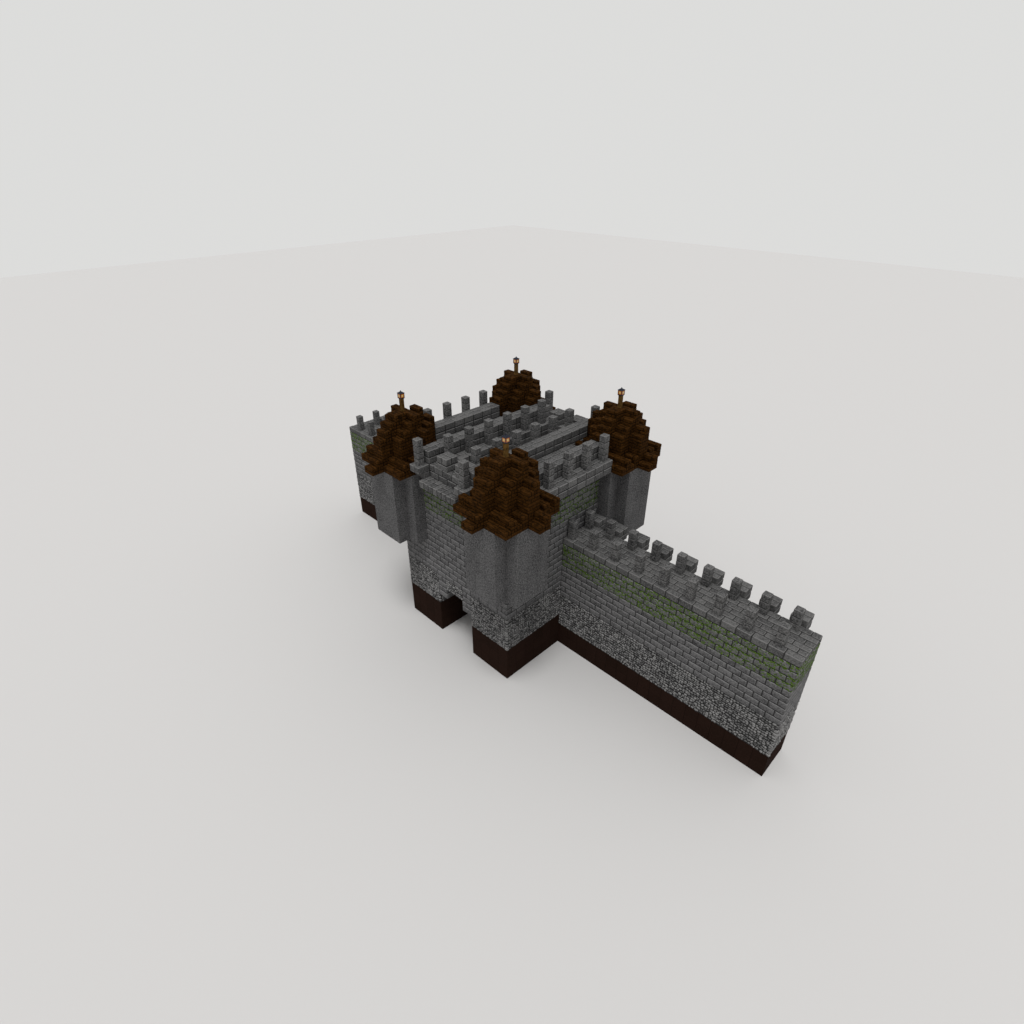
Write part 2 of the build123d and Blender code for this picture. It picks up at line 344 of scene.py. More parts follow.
bareNodes = ("lamp_posts", "lantern_frames", "lantern_panes")
cladNodes = [name for name in sorted(nodes) if name not in bareNodes]
corners = {
    name: np.round(np.array([v.co for v in nodes[name].data.vertices]), gridSettings["digits"])
    for name in cladNodes
}


def gridLines(axis):
    values = np.concatenate([points[:, axis] for points in corners.values()])
    step = gridSettings["step"]
    regular = np.arange(math.floor(values.min() / step), math.ceil(values.max() / step) + 1) * step
    return np.unique(np.round(np.concatenate([values, regular]), gridSettings["digits"]))


lines = [gridLines(axis) for axis in range(3)]
owner = np.full([len(line) - 1 for line in lines], -1)


def fillColumn(tree, index, i, j):
    # a ray straight down a column of cells tells which of them the solid fills
    x, y = ((lines[axis][k] + lines[axis][k + 1]) / 2 for axis, k in ((0, i), (1, j)))
    start = Vector((x, y, lines[2][-1] + 1))  # clear of the top
    top = None
    while True:
        hit, normal = tree.ray_cast(start, Vector((0, 0, -1)))[:2]
        if hit is None:
            return
        if normal.z > 0:
            top = hit.z
        elif top is not None:
            low, high = (np.argmin(np.abs(lines[2] - value)) for value in (hit.z, top))
            owner[i, j, low:high] = index
            top = None
        start.z = hit.z - gridSettings["skin"]


for index, name in enumerate(cladNodes):
    mesh = nodes[name].data
    faces = [tuple(p.vertices) for p in mesh.polygons]
    tree = BVHTree.FromPolygons([v.co for v in mesh.vertices], faces)
    spans = []
    for axis in range(2):
        places = corners[name][:, axis]
        ends = [np.argmin(np.abs(lines[axis] - place)) for place in (places.min(), places.max())]
        spans.append(range(*ends))
    for i in spans[0]:
        for j in spans[1]:
            fillColumn(tree, index, i, j)

# the open air, grown inwards from around the building, so that closed rooms don't count
air = np.pad(owner < 0, 1, constant_values=True)
air[:, :, 0] = False  # the ground
outside = np.zeros_like(air)
outside[0] = air[0]
while True:
    grown = outside.copy()
    for axis in range(3):
        for shift in (1, -1):
            grown |= np.roll(outside, shift, axis)
    grown &= air
    if grown.sum() == outside.sum():
        break
    outside = grown
print("grid", owner.shape, "filled cells", int((owner >= 0).sum()))


def cellRange(axis, low, high):
    # the cells that lie between two coordinates
    first = np.searchsorted(lines[axis], low + gridSettings["skin"], side="right") - 1
    last = np.searchsorted(lines[axis], high - gridSettings["skin"], side="left")
    return first, last


def openSides(low, high):
    # for each of the six sides of a block, whether it looks out on the open air
    ranges = [cellRange(axis, low[axis], high[axis]) for axis in range(3)]
    result = []
    for axis in range(3):
        for value, beyond in ((low[axis], ranges[axis][0] - 1), (high[axis], ranges[axis][1])):
            onLine = np.abs(lines[axis] - value).min() < gridSettings["skin"]
            cut = [slice(a + 1, b + 1) for a, b in ranges]
            cut[axis] = beyond + 1
            result.append(bool(onLine and outside[tuple(cut)].any()))
    return result


def rectangles(mask):
    # a plan of cells cut into a few large rectangles
    left = mask.copy()
    found = []
    while left.any():
        i, j = np.argwhere(left)[0]
        lastJ = j
        while lastJ + 1 < left.shape[1] and left[i, lastJ + 1]:
            lastJ += 1
        lastI = i
        while lastI + 1 < left.shape[0] and left[lastI + 1, j : lastJ + 1].all():
            lastI += 1
        left[i : lastI + 1, j : lastJ + 1] = False
        found.append((i, lastI + 1, j, lastJ + 1))
    return found


# one dressed block and one cobble, modelled once and copied many times
blockShapes = {
    "chamfer": 0.2,
    "mostBevel": 0.4,  # of half the block's thinnest side
    "roundness": 0.55,  # of a cobble
}


def addCube(**place):
    bpy.ops.object.select_all(action="DESELECT")
    bpy.ops.mesh.primitive_cube_add(**place)
    return bpy.context.object


def chamferEdges(piece, width):
    chamfer = piece.modifiers.new("chamfer", "BEVEL")
    chamfer.width = width
    bpy.ops.object.modifier_apply(modifier="chamfer")


def readTemplate(piece):
    mesh = piece.data
    points = np.array([v.co for v in mesh.vertices])
    faces = [tuple(p.vertices) for p in mesh.polygons]
    smooth = mesh.polygons[0].use_smooth
    bpy.data.objects.remove(piece)
    return {"points": points, "faces": faces, "smooth": smooth}


def dressedBlockTemplate(width):
    # a block of side 2 with chamfered edges, which keep their width when the block is stretched
    piece = addCube(size=2)
    chamferEdges(piece, width)
    template = readTemplate(piece)
    template["inset"] = (1 - np.abs(template["points"])) / width
    return template


def cobbleTemplate(roundness):
    piece = addCube(size=2)
    bpy.ops.object.mode_set(mode="EDIT")
    bpy.ops.mesh.select_all(action="SELECT")
    bpy.ops.mesh.subdivide(number_cuts=1, smoothness=0)
    bpy.ops.transform.tosphere(value=roundness)
    bpy.ops.object.mode_set(mode="OBJECT")
    bpy.ops.object.shade_smooth()
    template = readTemplate(piece)
    template["points"] /= np.abs(template["points"]).max(0)
    return template


dressedBlock = dressedBlockTemplate(blockShapes["chamfer"])
cobble = cobbleTemplate(blockShapes["roundness"])


def buildPiece(name, boxes, template, work, finish):
    # each row of boxes: low corner, high corner, tone and moss
    boxes = np.array(boxes)
    low, high = boxes[:, None, 0:3], boxes[:, None, 3:6]
    middle, half = (low + high) / 2, (high - low) / 2
    points = template["points"][None]
    if "inset" in template:
        mostBevel = blockShapes["mostBevel"] * half.min(axis=2, keepdims=True)
        bevel = np.minimum(work["bevel"], mostBevel)
        shaped = np.sign(points) * (half - template["inset"][None] * bevel)
    else:
        shaped = points * half
    # every point moves with the corner of the block that is nearest
    cornerIndex = (template["points"] > 0) @ np.array([1, 2, 4])
    wobble = random.uniform(-1, 1, (len(boxes), 8, 3)) * work["wobble"]
    shaped = shaped + wobble[:, cornerIndex]
    if "rough" in work:
        shaped = shaped + random.uniform(-1, 1, shaped.shape) * work["rough"]
    placed = (middle + shaped).reshape(-1, 3)
    count = len(template["points"])
    sizes = np.array([len(face) for face in template["faces"]])
    loops = np.concatenate(template["faces"])
    allLoops = (loops[None] + np.arange(len(boxes))[:, None] * count).ravel()
    allSizes = np.tile(sizes, len(boxes))
    allStarts = np.concatenate([[0], np.cumsum(allSizes)[:-1]])
    mesh = bpy.data.meshes.new(name)
    mesh.vertices.add(len(placed))
    mesh.vertices.foreach_set("co", placed.astype(np.float32).ravel())
    mesh.loops.add(len(allLoops))
    mesh.loops.foreach_set("vertex_index", allLoops.astype(np.int32))
    mesh.polygons.add(len(allSizes))
    mesh.polygons.foreach_set("loop_start", allStarts.astype(np.int32))
    mesh.polygons.foreach_set("use_smooth", np.full(len(allSizes), template["smooth"]))
    mesh.update(calc_edges=True)
    mesh.validate()
    for column, attributeName in ((6, "tone"), (7, "moss")):
        attribute = mesh.attributes.new(attributeName, "FLOAT", "POINT")
        attribute.data.foreach_set("value", np.repeat(boxes[:, column], count).astype(np.float32))
    mesh.materials.append(finishes[finish])
    piece = bpy.data.objects.new(name, mesh)
    bpy.context.scene.collection.objects.link(piece)
    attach(piece, "root")
    print(name, len(boxes), "blocks", int((allSizes - 2).sum()), "triangles")


# how stones and boards are laid, in metres
layingRules = {
    "slack": 0.01,  # how far from a whole course a height still counts as one, in courses
    "shortest": 0.03,  # a joint nearer than this to an end is left out
    "thinnest": 0.02,  # a thinner stone isn't laid
    "jitter": 0.28,  # of a cobble's length
    "phase": (0.0, 0.25),  # where the joints of the even courses fall, along X and along Y
}


def courseLines(low, high, height):
    slack = layingRules["slack"]
    first, last = math.ceil(low / height - slack), math.floor(high / height + slack)
    values = np.concatenate([[low, high], np.arange(first, last + 1) * height])
    return np.unique(np.round(values, gridSettings["digits"]))


def cutLines(low, high, length, phase):
    first, last = math.floor((low - phase) / length), math.ceil((high - phase) / length)
    inner = np.arange(first, last + 1) * length + phase
    shortest = layingRules["shortest"]
    inner = inner[(inner > low + shortest) & (inner < high - shortest)]
    return np.concatenate([[low], inner, [high]])


def jitteredLines(low, high, length):
    count = max(1, round((high - low) / length))
    values = np.linspace(low, high, count + 1)
    jitter = layingRules["jitter"]
    values[1:-1] += random.uniform(-jitter, jitter, count - 1) * length
    return values


def fieldPlaces(mask, xs, ys):
    # what is filled of each field between the joints, as rectangles
    places = []
    for xa, xb in zip(xs[:-1], xs[1:]):
        i0, i1 = cellRange(0, xa, xb)
        if not mask[i0:i1].any():
            continue
        for ya, yb in zip(ys[:-1], ys[1:]):
            j0, j1 = cellRange(1, ya, yb)
            for a, b, c, d in rectangles(mask[i0:i1, j0:j1]):
                places.append((lines[0][i0 + a], lines[0][i0 + b], lines[1][j0 + c], lines[1][j0 + d]))
    return places


def areaPlaces(work, course, area, topOpen):
    # the stones or boards of one course on one rectangle of the plan
    x0, x1, y0, y1 = area
    length, pattern = work["length"], work["pattern"]
    if pattern == "cobbled":
        across = jitteredLines(y0, y1, length)
        rows = [(jitteredLines(x0, x1, length), pair) for pair in zip(across[:-1], across[1:])]
    elif pattern == "stacked":
        rows = [(cutLines(x0, x1, length, x0), cutLines(y0, y1, length, y0))]
    elif topOpen:
        # the layer of boards on a roof course, each row set on from the last
        rows = []
        across = cutLines(y0, y1, work["rows"], 0.0)
        for row, pair in enumerate(zip(across[:-1], across[1:])):
            shift = work["stagger"] * ((row * 3 + course) % 4)
            rows.append((cutLines(x0, x1, length, shift), pair))
    else:
        shift = work["stagger"] * (course % 4)
        rows = [(cutLines(x0, x1, length, shift), cutLines(y0, y1, length, shift))]
    return [
        (xa, xb, ya, yb)
        for xs, ys in rows
        for xa, xb in zip(xs[:-1], xs[1:])
        for ya, yb in zip(ys[:-1], ys[1:])
    ]


def topPlaces(work, course, mask):
    # stones that show their tops lie in rows along the longer side of what they cover
    filled = [np.flatnonzero(mask.any(axis=1 - k)) for k in range(2)]
    spans = [lines[k][filled[k][-1] + 1] - lines[k][filled[k][0]] for k in range(2)]
    along = 1 if work.get("alongY") or spans[1] > spans[0] else 0
    across = 1 - along
    edges = cutLines(lines[across][0], lines[across][-1], work["rows"], 0.0)
    places = []
    for row in range(len(edges) - 1):
        shift = work["length"] / 2 * ((row + course) % 2)
        joints = [None, None]
        joints[across] = edges[row : row + 2]
        phase = layingRules["phase"][along] + shift
        joints[along] = cutLines(lines[along][0], lines[along][-1], work["length"], phase)
        places += fieldPlaces(mask, *joints)
    return places


def coursePlaces(work, course, mask, topOpen):
    if not mask.any():
        return []
    if work["pattern"] == "coursed" and topOpen:
        return topPlaces(work, course, mask)
    if work["pattern"] == "coursed":
        shift = work["length"] / 2 * (course % 2)
        phases = [phase + shift for phase in layingRules["phase"]]
        joints = [cutLines(lines[k][0], lines[k][-1], work["length"], phases[k]) for k in range(2)]
        return fieldPlaces(mask, *joints)
    places = []
    for i0, i1, j0, j1 in rectangles(mask):
        area = (lines[0][i0], lines[0][i1], lines[1][j0], lines[1][j1])
        places += areaPlaces(work, course, area, topOpen)
    return places


# moss on the upper courses, thicker on the curtain walls
mossBands = {
    # heights in metres, clumps per metre of stone
    "wing": {"low": 6.0, "high": 7.0, "amount": (0.6, 1.0), "clumps": 8.0},
    "curtain": {"low": 4.0, "high": 5.0, "amount": (0.8, 1.3), "clumps": 12.0},
}
mossClump = {
    "length": (0.03, 0.09), "height": (0.022, 0.055), "depth": 0.016, "wobble": 0.003, "rough": 0.003,
    "atFoot": 0.6,  # share that hangs at the foot of its stone, the others at its head
    "overJoint": 1 / 3,  # share of a clump that lies over the joint
    "margin": 0.01,
}
clumpBoxes = {"wing": [], "curtain": []}


def addClumps(band, low, high, showing):
    depth, margin, overJoint = (mossClump[key] for key in ("depth", "margin", "overJoint"))
    for axis, other in ((0, 1), (1, 0)):
        for end, face in ((0, low[axis]), (1, high[axis])):
            if not showing[2 * axis + end]:
                continue
            expected = mossBands[band]["clumps"] * (high[other] - low[other])
            for clump in range(random.poisson(expected)):
                length = random.uniform(*mossClump["length"])
                height = random.uniform(*mossClump["height"])
                first = low[other] + margin
                along = random.uniform(first, max(first + margin, high[other] - length - margin))
                if random.uniform() < mossClump["atFoot"]:
                    foot = low[2] - height * overJoint
                else:
                    foot = high[2] - height * (1 - overJoint)
                start, stop = [0, 0, foot], [0, 0, foot + height]
                start[axis], stop[axis] = face - depth / 2, face + depth / 2
                start[other], stop[other] = along, along + length
                clumpBoxes[band].append((*start, *stop, random.uniform(-1, 1), 0))


def addStone(work, low, high, band, boxes):
    showing = openSides(low, high)
    if not any(showing):
        return
    low, high = list(low), list(high)
    for axis in range(3):
        if "scatter" in work and not any(showing[2 * axis : 2 * axis + 2]):
            shift = random.uniform(-1, 1) * work["scatter"]
            low[axis], high[axis] = low[axis] + shift, high[axis] + shift
        low[axis] += -work["proud"] if showing[2 * axis] else work["joint"] / 2
        high[axis] += work["proud"] if showing[2 * axis + 1] else -work["joint"] / 2
    low[2] = max(low[2], 0.0)
    if min(b - a for a, b in zip(low, high)) < layingRules["thinnest"]:
        return
    moss = 0.0
    if band and mossBands[band]["low"] < (low[2] + high[2]) / 2 < mossBands[band]["high"]:
        moss = random.uniform(*mossBands[band]["amount"])
        addClumps(band, low, high, showing)
    boxes.append((*low, *high, random.uniform(-1, 1), moss))


def layStones(names, work, boxes, z0=None, z1=None, band=None, within=None):
    # covers the open faces of CAD nodes that lie side by side, between two heights (z0, z1) and,
    # where "within" gives them, two places along X
    indexes = [cladNodes.index(name) for name in names]
    bottom = round(min(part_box(name)[0].z for name in names), gridSettings["digits"])
    top = round(max(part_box(name)[1].z for name in names), gridSettings["digits"])
    z0, z1 = max(bottom, z0 or bottom), min(top, z1 or top)
    levels = courseLines(z0, z1, work["height"])
    if work["pattern"] == "cobbled":
        levels = jitteredLines(z0, z1, work["height"])
    inside = np.ones(owner.shape[0], bool)
    if within:
        inside[:] = False
        inside[slice(*cellRange(0, *within))] = True
    for low, high in zip(levels[:-1], levels[1:]):
        course = int(round(low / work["height"]))
        cell = cellRange(2, low, high)
        own = np.isin(owner[:, :, cell[0]], indexes) & inside[:, None]
        atTop = abs(lines[2][cell[1]] - high) < gridSettings["skin"]
        topOpen = outside[1:-1, 1:-1, cell[1] + 1] & own if atTop else np.zeros_like(own)
        if "tops" in work and topOpen.any():
            topOpen = own  # what is covered is laid in the same bond as the open part
        for mask, isOpen in ((topOpen, True), (own & ~topOpen, False)):
            for xa, xb, ya, yb in coursePlaces(work, course, mask, isOpen):
                addStone(work, (xa, ya, low), (xb, yb, high), band, boxes)


def layPiece(name, groups, work, template, finish, slot, **limits):
    boxes = []
    for names in groups:
        layStones(names, work, boxes, **limits)
    buildPiece(name, boxes, template, work, finish)


# squared stones and cobbles of the walls: sizes in metres
squaredStones = {
    "pattern": "coursed", "height": courseHeight, "length": 0.5, "rows": 0.25,
    "joint": 0.026, "proud": 0.02, "bevel": 0.02, "wobble": 0.004,
}
wallCobbles = {
    "pattern": "cobbled", "height": 0.095, "length": 0.108, "scatter": 0.016,
    "joint": 0.003, "proud": 0.028, "wobble": 0.010, "rough": 0.006,
}
cobbleTop = {"wing": 3.0, "curtain": 2.5}  # squared stones start at this height
gateCobbleReach = 0.5  # a few cobbles over the arch, to each side of the middle
wingWalls = ("outer_wall", "passage_wall", "front_wall", "back_wall")
gateWalls = ["front_gate_wall", "back_gate_wall"]
sides = ("left", "right")


def blocksBetween(boxes, low, high):
    return [box for box in boxes if low <= (box[0] + box[3]) / 2 < high]


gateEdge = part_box(gateWalls[0])[1].x
wallBoxes = []
allWalls = [f"{side}_{part}" for side in sides for part in wingWalls] + gateWalls
underWalls = [f"{side}_passage_haunch" for side in sides] + ["passage_ceiling"]
layStones(allWalls, squaredStones, wallBoxes, z0=cobbleTop["wing"], band="wing")
layStones(underWalls, squaredStones, wallBoxes)
for low, high in ((-gateEdge, -gateCobbleReach), (gateCobbleReach, gateEdge)):
    layStones(gateWalls, squaredStones, wallBoxes, z1=cobbleTop["wing"], within=(low, high))
gateCobbleBoxes = []
reach = (-gateCobbleReach, gateCobbleReach)
layStones(gateWalls, wallCobbles, gateCobbleBoxes, z1=cobbleTop["wing"], within=reach)
wallParts = {
    "leftWing": (-math.inf, -gateEdge),
    "gate": (-gateEdge, gateEdge),
    "rightWing": (gateEdge, math.inf),
}
for name, (low, high) in wallParts.items():
    boxes = blocksBetween(wallBoxes, low, high)
    buildPiece(f"{name}Stones", boxes, dressedBlock, squaredStones, "wallStone")
buildPiece("gateCobbles", gateCobbleBoxes, cobble, wallCobbles, "cobbleStone")

for side in sides:
    walls = [f"{side}_{part}" for part in wingWalls]
    layPiece(
        f"{side}WingCobbles", [walls], wallCobbles, cobble, "cobbleStone", "wall_stone",
        z1=cobbleTop["wing"],
    )

    # cobbles and stones are both laid before either is built, for the order of the random numbers
    stoneBoxes, cobbleBoxes = [], []
    curtain = [f"{side}_curtain_wall"]
    layStones(curtain, wallCobbles, cobbleBoxes, z1=cobbleTop["curtain"])
    layStones(curtain, squaredStones, stoneBoxes, z0=cobbleTop["curtain"], band="curtain")
    buildPiece(
        f"{side}CurtainStones", stoneBoxes, dressedBlock, squaredStones, "wallStone"
    )
    buildPiece(
        f"{side}CurtainCobbles", cobbleBoxes, cobble, wallCobbles, "cobbleStone"
    )

for band, boxes in clumpBoxes.items():
    buildPiece(f"{band}Moss", boxes, cobble, mossClump, "mossClumps")

# ledges, parapets and copings
parapetBlocks = {
    "pattern": "coursed", "height": courseHeight, "length": 0.5, "rows": 0.25, "tops": "one bond",
    "joint": 0.032, "proud": 0.016, "bevel": 0.018, "wobble": 0.003,
}
parapetParts = ("wing_roof", "ledge", "parapets", "curtain_coping", "curtain_merlons")

for side in sides:
    groups = [[f"{side}_{part}"] for part in parapetParts]
    layPiece(
        f"{side}ParapetStones", groups, parapetBlocks, dressedBlock, "parapetStone", "parapet_stone"
    )

# slender merlons on the ledges and on the curtain walls
merlonBlocks = {
    "pattern": "stacked", "height": 0.25, "length": 0.5,
    "joint": 0.018, "proud": 0.008, "bevel": 0.014, "wobble": 0.002,
}

for side in sides:
    groups = [[f"{side}_{part}"] for part in ("merlons", "curtain_posts")]
    layPiece(
        f"{side}MerlonStones", groups, merlonBlocks, dressedBlock, "merlonStone", "parapet_stone"
    )

# dark stones at the foot of the walls
footStones = {
    "pattern": "stacked", "height": 0.5, "length": 0.5,
    "joint": 0.006, "proud": 0.006, "bevel": 0.008, "wobble": 0.001,
}

for side in sides:
    groups = [[f"{side}_{part}"] for part in ("plinth", "curtain_base")]
    layPiece(
        f"{side}FootStones", groups, footStones, dressedBlock, "foundationStone", "foundation_stone"
    )

# the stones on the ledges over the gate run across them
gateTopBlocks = {**parapetBlocks, "alongY": True}

gateTopBoxes = []
layStones(["gate_roof"], gateTopBlocks, gateTopBoxes)
for name in ("front_gate_parapet", "back_gate_parapet"):
    layStones([name], parapetBlocks, gateTopBoxes)
buildPiece(
    "gateParapetStones", gateTopBoxes, dressedBlock, parapetBlocks, "parapetStone"
)

# smooth stones of the round towers and boards of their stepped roofs
towerStones = {
    "pattern": "stacked", "height": 0.5, "length": 0.5,
    "joint": 0.004, "proud": 0.006, "bevel": 0.005, "wobble": 0.001,
}
roofBoards = {
    "pattern": "boards", "height": 0.125, "length": 0.5, "rows": 0.125, "stagger": 0.125,
    "joint": 0.015, "proud": 0.01, "bevel": 0.014, "wobble": 0.003,
}

for end in ("front", "back"):
    for side in sides:
        tower = f"{end}_{side}_tower"
        pieceName = end + side.capitalize()
        layPiece(
            f"{pieceName}TowerStones", [[tower]], towerStones, dressedBlock, "towerStone",
            "tower_stone",
        )
        layPiece(
            f"{pieceName}RoofBoards", [[f"{tower}_roof"]], roofBoards, dressedBlock, "roofBoards",
            "roof_timber",
        )

# lamp posts and lanterns
lampPost = {
    "width": 0.135, "chamfer": 0.008, "groove": 0.028, "grooveDepth": 0.006,
    "collar": 0.146, "collarHeight": 0.04, "collarChamfer": 0.006,
}
lantern = {
    "width": 0.1875, "bar": 0.022, "ring": 0.016, "bevel": 0.004, "fineBevel": 0.003,
    "intoCap": 0.01,  # how far the upright bars reach into the cap
    "paneInset": 0.006, "paneBevel": 0.01,
    "overlap": 0.004,  # of a pane or a knob and what it meets
    # the cap from its rim up, first how wide and then how far over the panes
    "cap": 0.2115, "slopeFoot": 0.2035, "waist": 0.118, "neckFoot": 0.098, "neckHead": 0.05,
    "rimTop": 0.012, "slopeStart": 0.01, "slopeEnd": 0.042,
    "neckBevel": 0.002, "knob": 0.036, "knobBevel": 0.008,
}
ironLook = {
    "dark": (10, 13, 24), "light": (34, 40, 58), "scratches": 40.0, "scratchRange": (0.4, 0.7),
    "roughness": (0.7, 0.5), "bumpStrength": 0.3, "bumpDepth": 0.002, "shine": 0.3,
}
glassLook = {
    "innerGlow": (178, 182, 122), "middleGlow": (166, 104, 44), "outerGlow": (116, 50, 14),
    "innerBand": (0.1, 0.5), "outerBand": (0.45, 0.9),  # from 0 in the middle to 1 at the bars
    "ripples": 30.0, "rippleReach": 0.08, "unlit": (30, 14, 6), "glow": 0.85, "roughness": 0.25,
}


def addBlock(centre, widths, z0, z1, bevel):
    block = addCube(size=1, location=(*centre, (z0 + z1) / 2), scale=(*widths, z1 - z0))
    bpy.ops.object.transform_apply(location=True, rotation=True, scale=True)
    chamferEdges(block, bevel)
    return block


def squareBlock(centre, width, z0, z1, bevel):
    return addBlock(centre, (width, width), z0, z1, bevel)


def pyramid(centre, footWidth, topWidth, z0, z1, bevel):
    bpy.ops.object.select_all(action="DESELECT")
    bpy.ops.mesh.primitive_cone_add(
        vertices=4, radius1=footWidth / math.sqrt(2), radius2=topWidth / math.sqrt(2), depth=z1 - z0,
        location=(*centre, (z0 + z1) / 2), rotation=(0, 0, math.pi / 4),
    )
    block = bpy.context.object
    bpy.ops.object.transform_apply(location=True, rotation=True, scale=True)
    chamferEdges(block, bevel)
    return block


def joinBlocks(name, blocks, material, node):
    bpy.ops.object.select_all(action="DESELECT")
    for block in blocks:
        block.select_set(True)
    bpy.context.view_layer.objects.active = blocks[0]
    bpy.ops.object.join()
    piece = bpy.context.object
    piece.name = name
    piece.data.materials.clear()
    piece.data.materials.append(material)
    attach(piece, "root")
    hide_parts(node)
    print(name, len(piece.data.polygons), "faces")


def grooveSides(block, z0, z1):
    # a sunk panel on each side of a post
    bpy.ops.object.mode_set(mode="EDIT")
    bpy.ops.mesh.select_all(action="DESELECT")
    bpy.ops.object.mode_set(mode="OBJECT")
    leastArea = lampPost["width"] * (z1 - z0) / 2  # more than a chamfer has
    for face in block.data.polygons:
        face.select = round(face.normal.z) == 0 and face.area > leastArea
    bpy.ops.object.mode_set(mode="EDIT")
    bpy.ops.mesh.select_mode(type="FACE")
    width, depth = lampPost["groove"], lampPost["grooveDepth"]
    bpy.ops.mesh.inset(thickness=width, depth=-depth, use_individual=True)
    bpy.ops.object.mode_set(mode="OBJECT")


def ironMaterial():
    material, tree, shader = newMaterial("lanternIron")
    scratches = noise(tree, objectPlace(tree), ironLook["scratches"], 4.0, 0.7)
    scratches = spread(tree, scratches, *ironLook["scratchRange"])
    roughness = spread(tree, scratches, 0.0, 1.0, *ironLook["roughness"])
    tree.links.new(roughness, shader.inputs["Roughness"])
    finishShader(tree, shader, darkToLight(tree, scratches, ironLook), scratches, ironLook)
    return material


def glassMaterial(lampX, lampY, paneMiddle, paneHeight):
    # lit panes: nearly white in the middle and orange towards the bars
    material, tree, shader = newMaterial("lanternGlow")
    place = objectPlace(tree)
    parts = addNode(tree, "SeparateXYZ", {"Vector": place}).outputs
    sideways = [
        sums(tree, "ABSOLUTE", sums(tree, "SUBTRACT", sums(tree, "ABSOLUTE", parts[axis]), centre))
        for axis, centre in (("X", lampX), ("Y", lampY))
    ]
    half = (lantern["width"] - lantern["bar"]) / 2
    across = sums(tree, "DIVIDE", sums(tree, "MINIMUM", *sideways), half)
    upright = sums(tree, "ABSOLUTE", sums(tree, "SUBTRACT", parts["Z"], paneMiddle))
    upright = sums(tree, "DIVIDE", upright, paneHeight / 2)
    ripple = glassLook["rippleReach"]
    ripple = spread(tree, noise(tree, place, glassLook["ripples"], 2.0), *noiseRange, -ripple, ripple)
    edge = sums(tree, "ADD", sums(tree, "MAXIMUM", across, upright), ripple)
    inner, middle, outer = (
        fromScreen(*glassLook[key]) for key in ("innerGlow", "middleGlow", "outerGlow")
    )
    colour = blendColours(tree, spread(tree, edge, *glassLook["innerBand"]), inner, middle)
    colour = blendColours(tree, spread(tree, edge, *glassLook["outerBand"]), colour, outer)
    tree.links.new(colour, shader.inputs["Emission Color"])
    shader.inputs["Base Color"].default_value = fromScreen(*glassLook["unlit"])
    shader.inputs["Emission Strength"].default_value = glassLook["glow"]
    shader.inputs["Roughness"].default_value = glassLook["roughness"]
    return material


postLow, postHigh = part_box("lamp_posts")
frameLow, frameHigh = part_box("lantern_frames")
paneLow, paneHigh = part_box("lantern_panes")
lampX, lampY = ((frameHigh[axis] - lantern["cap"] / 2) for axis in range(2))
lampCentres = [(x, y) for x in (-lampX, lampX) for y in (-lampY, lampY)]


def postBlocks(centre):
    shaft = squareBlock(centre, lampPost["width"], postLow.z, postHigh.z, lampPost["chamfer"])
    grooveSides(shaft, postLow.z, postHigh.z)
    blocks = [shaft]
    width, height, chamfer = lampPost["collar"], lampPost["collarHeight"], lampPost["collarChamfer"]
    for z in (postLow.z, postHigh.z - height):
        blocks.append(squareBlock(centre, width, z, z + height, chamfer))
    return blocks


def frameBlocks(centre):
    bar, ring, bevel, fineBevel = (lantern[key] for key in ("bar", "ring", "bevel", "fineBevel"))
    blocks = [squareBlock(centre, lantern["width"], frameLow.z, paneLow.z, bevel)]
    # four upright bars, and a ring of four bars at the foot and at the head of the panes
    reach = (lantern["width"] - bar) / 2
    x, y = centre
    for dx in (-reach, reach):
        for dy in (-reach, reach):
            barTop = paneHigh.z + lantern["intoCap"]
            blocks.append(squareBlock((x + dx, y + dy), bar, frameLow.z, barTop, bevel))
    for z in (paneLow.z, paneHigh.z - ring):
        for shift in (-reach, reach):
            blocks.append(addBlock((x + shift, y), (bar, 2 * reach), z, z + ring, fineBevel))
            blocks.append(addBlock((x, y + shift), (2 * reach, bar), z, z + ring, fineBevel))
    # the cap: a rim, two slopes and a knob
    slopeFoot, waist, neckFoot, neckHead = (
        lantern[key] for key in ("slopeFoot", "waist", "neckFoot", "neckHead")
    )
    rimTop, slopeStart, slopeEnd = (
        paneHigh.z + lantern[key] for key in ("rimTop", "slopeStart", "slopeEnd")
    )
    neckTop = frameHigh.z - lantern["knob"]
    knobFoot = neckTop - lantern["overlap"]
    blocks += [
        squareBlock(centre, lantern["cap"], paneHigh.z, rimTop, fineBevel),
        pyramid(centre, slopeFoot, waist, slopeStart, slopeEnd, fineBevel),
        pyramid(centre, neckFoot, neckHead, slopeEnd, neckTop, lantern["neckBevel"]),
        squareBlock(centre, lantern["knob"], knobFoot, frameHigh.z, lantern["knobBevel"]),
    ]
    return blocks


def paneBlocks(centre):
    width = lantern["width"] - lantern["bar"] + 2 * lantern["paneInset"]
    z0, z1 = paneLow.z - lantern["overlap"], paneHigh.z + lantern["overlap"]
    return [squareBlock(centre, width, z0, z1, lantern["paneBevel"])]


def lampPiece(name, makeBlocks, material, node):
    blocks = [block for centre in lampCentres for block in makeBlocks(centre)]
    joinBlocks(name, blocks, material, node)


lampPiece("lampPosts", postBlocks, finishes["postTimber"], "lamp_posts")
lampPiece("lanternFrames", frameBlocks, ironMaterial(), "lantern_frames")
glow = glassMaterial(lampX, lampY, (paneLow.z + paneHigh.z) / 2, paneHigh.z - paneLow.z)
lampPiece("lanternPanes", paneBlocks, glow, "lantern_panes")

# the CAD solids show in the joints between the stones, so they get mortar and under-boards
for part in frame["record"]["subparts"]:
    node = nodes[part["node"]]
    node.data.materials.clear()
    node.data.materials.append(finishes[underFinishes.get(part["material_slot"], "wallMortar")])
print("CAD nodes finished")

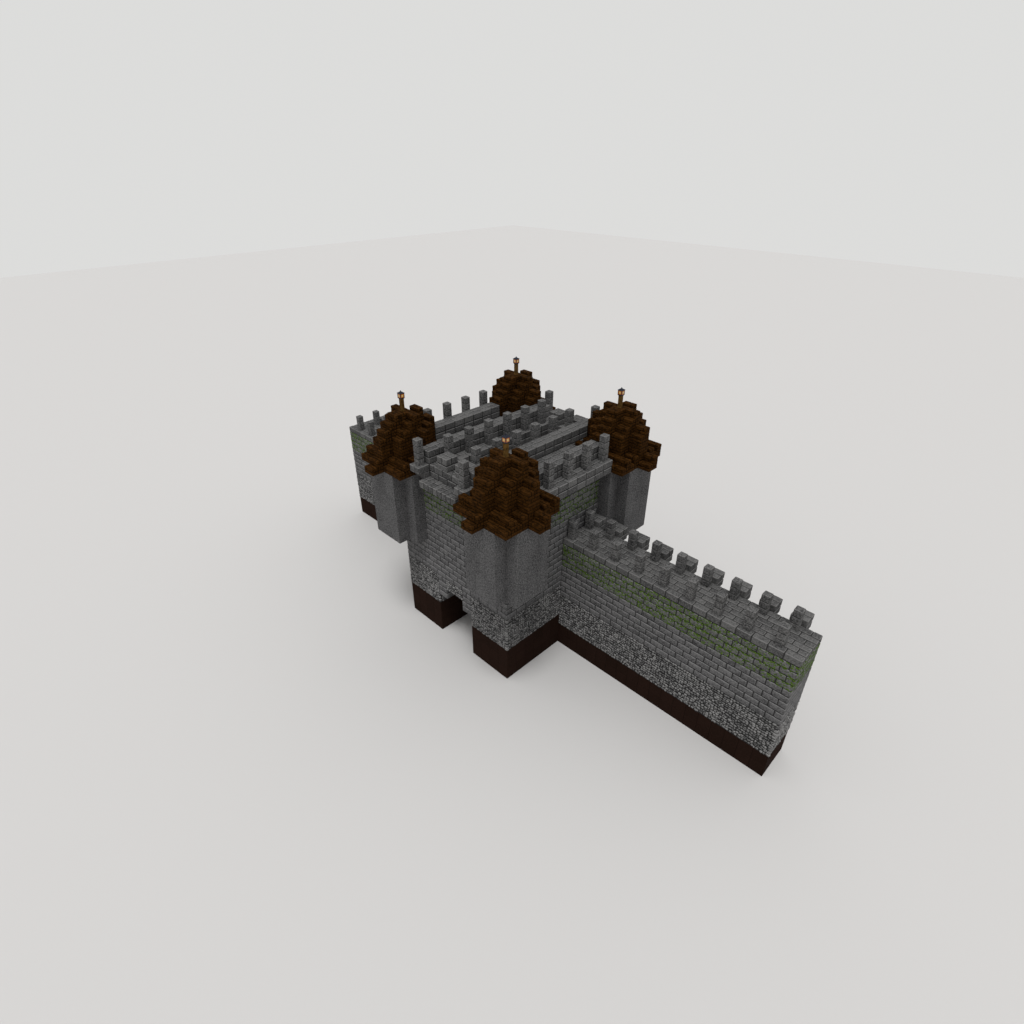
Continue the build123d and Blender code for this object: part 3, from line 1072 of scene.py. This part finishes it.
# floor, sky and a soft sun that stands high, as in the photograph
stageSettings = {
    "floorSize": 240,
    "floorColour": (0.56, 0.55, 0.54),
    "floorRoughness": 0.9,
    "backgroundColour": (0.72, 0.72, 0.71),
    "skyStrength": 0.74,
    "sunStrength": 1.6,
    "sunTilt": 18,  # degrees from straight down
    "sunTurn": 38,
    "sunSoftness": 20,
}


def addStage():
    bpy.ops.object.select_all(action="DESELECT")
    bpy.ops.mesh.primitive_plane_add(size=stageSettings["floorSize"])
    floor = bpy.context.object
    floor.name = "floor"
    material, tree, shader = newMaterial("floor")
    shader.inputs["Base Color"].default_value = (*stageSettings["floorColour"], 1)
    shader.inputs["Roughness"].default_value = stageSettings["floorRoughness"]
    floor.data.materials.append(material)
    world = bpy.data.worlds.new("sky")
    world.use_nodes = True
    tree = world.node_tree
    sky = tree.nodes["Background"]
    sky.inputs["Color"].default_value = (1, 1, 1, 1)
    sky.inputs["Strength"].default_value = stageSettings["skyStrength"]
    # the camera and mirrors see a plain background, all else is lit by the sky
    seenColour = (*stageSettings["backgroundColour"], 1)
    seen = addNode(tree, "Background", {"Color": seenColour, "Strength": 1.0})
    path = addNode(tree, "LightPath")
    direct = sums(tree, "MAXIMUM", path.outputs["Is Camera Ray"], path.outputs["Is Glossy Ray"])
    direct = sums(tree, "MAXIMUM", direct, path.outputs["Is Transmission Ray"])
    mixed = addNode(tree, "MixShader", {0: direct, 1: sky.outputs[0], 2: seen.outputs[0]})
    tree.links.new(mixed.outputs[0], tree.nodes["World Output"].inputs["Surface"])
    bpy.context.scene.world = world
    sunData = bpy.data.lights.new("softSun", "SUN")
    sunData.energy = stageSettings["sunStrength"]
    sunData.angle = math.radians(stageSettings["sunSoftness"])
    sun = bpy.data.objects.new("softSun", sunData)
    tilt, turn = math.radians(stageSettings["sunTilt"]), math.radians(stageSettings["sunTurn"])
    sun.rotation_euler = (tilt, 0, turn)
    bpy.context.scene.collection.objects.link(sun)
    bpy.context.scene.view_settings.view_transform = "Standard"


addStage()
print("stage set")
